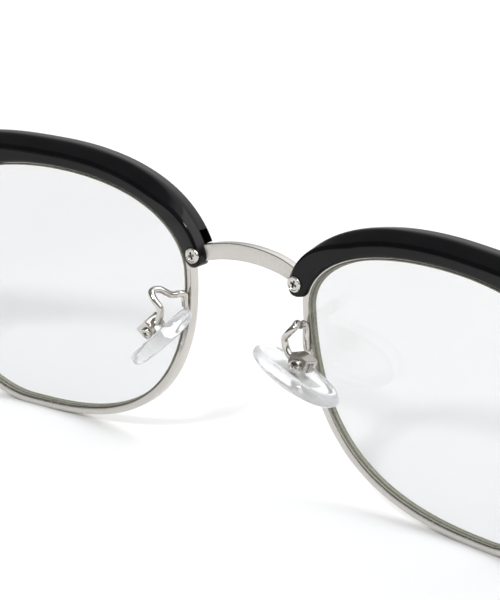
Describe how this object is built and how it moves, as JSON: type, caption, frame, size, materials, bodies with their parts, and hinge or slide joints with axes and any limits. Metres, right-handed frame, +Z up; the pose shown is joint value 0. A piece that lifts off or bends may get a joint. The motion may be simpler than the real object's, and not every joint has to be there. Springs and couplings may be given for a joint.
{
  "type": "half rim eyeglasses",
  "caption": "Half rim (browline) eyeglasses: black brow bars over wire eyewires, clear lenses, bent strip bridge, rocking nose pads on wire arms and folding temples.",
  "frame": {"origin": "on the table, under the middle of the bounding box, with the eyeglasses standing on their eyewires and temple tips", "axes": "+Z up, the front faces -Y, the temples run back along +Y, +X is the wearer's left"},
  "size_m": [0.1378, 0.1496, 0.0388],
  "materials": {
    "lens": "clear, pale green at the ground edge",
    "acetate": "polished black acetate",
    "metal": "polished nickel",
    "screw_metal": "polished nickel, slotted heads",
    "insert_metal": "satin",
    "core_wire": "satin",
    "silicone": "clear silicone, slightly cloudy"
  },
  "bodies": {
    "front": {"lens_left": "lens", "lens_right": "lens", "eyewire_left": "metal", "eyewire_right": "metal", "rim_lock_upper_left": "metal", "rim_lock_upper_right": "metal", "rim_lock_lower_left": "metal", "rim_lock_lower_right": "metal", "rim_lock_screw_left": "screw_metal", "rim_lock_screw_right": "screw_metal", "bridge": "metal", "brow_left": "acetate", "brow_right": "acetate", "brow_screw_nose_left": "screw_metal", "brow_screw_nose_right": "screw_metal", "brow_screw_side_left": "screw_metal", "brow_screw_side_right": "screw_metal", "endpiece_left": "metal", "endpiece_right": "metal", "hinge_front_left": "metal", "hinge_front_right": "metal", "hinge_screw_left": "screw_metal", "hinge_screw_right": "screw_metal", "pad_arm_left": "metal", "pad_arm_right": "metal", "pad_box_left": "metal", "pad_box_right": "metal", "pad_screw_left": "screw_metal", "pad_screw_right": "screw_metal"},
    "temple_left": {"hinge_temple_left": "metal", "temple_left": "acetate", "temple_core_left": "core_wire", "temple_rivets_left": "screw_metal"},
    "temple_right": {"hinge_temple_right": "metal", "temple_right": "acetate", "temple_core_right": "core_wire", "temple_rivets_right": "screw_metal"},
    "pad_left": {"nose_pad_left": "silicone", "pad_insert_left": "insert_metal"},
    "pad_right": {"nose_pad_right": "silicone", "pad_insert_right": "insert_metal"}
  },
  "joints": [
    {"name": "temple_left_fold", "type": "hinge", "parent": "front", "child": "temple_left", "pos_m": [0.0635, -0.0632, 0.0303], "axis": [0, 0, 1], "range_deg": [0, 90]},
    {"name": "temple_right_fold", "type": "hinge", "parent": "front", "child": "temple_right", "pos_m": [-0.0635, -0.0632, 0.0303], "axis": [0, 0, -1], "range_deg": [0, 81]},
    {"name": "pad_left_rock", "type": "hinge", "parent": "front", "child": "pad_left", "pos_m": [0.0131, -0.06635, 0.0183], "axis": [-0.0502, 0.9387, -0.341], "range_deg": [-12, 12]},
    {"name": "pad_right_rock", "type": "hinge", "parent": "front", "child": "pad_right", "pos_m": [-0.0132, -0.0664, 0.01925], "axis": [-0.0769, 0.9744, 0.2114], "range_deg": [-12, 12]}
  ]
}
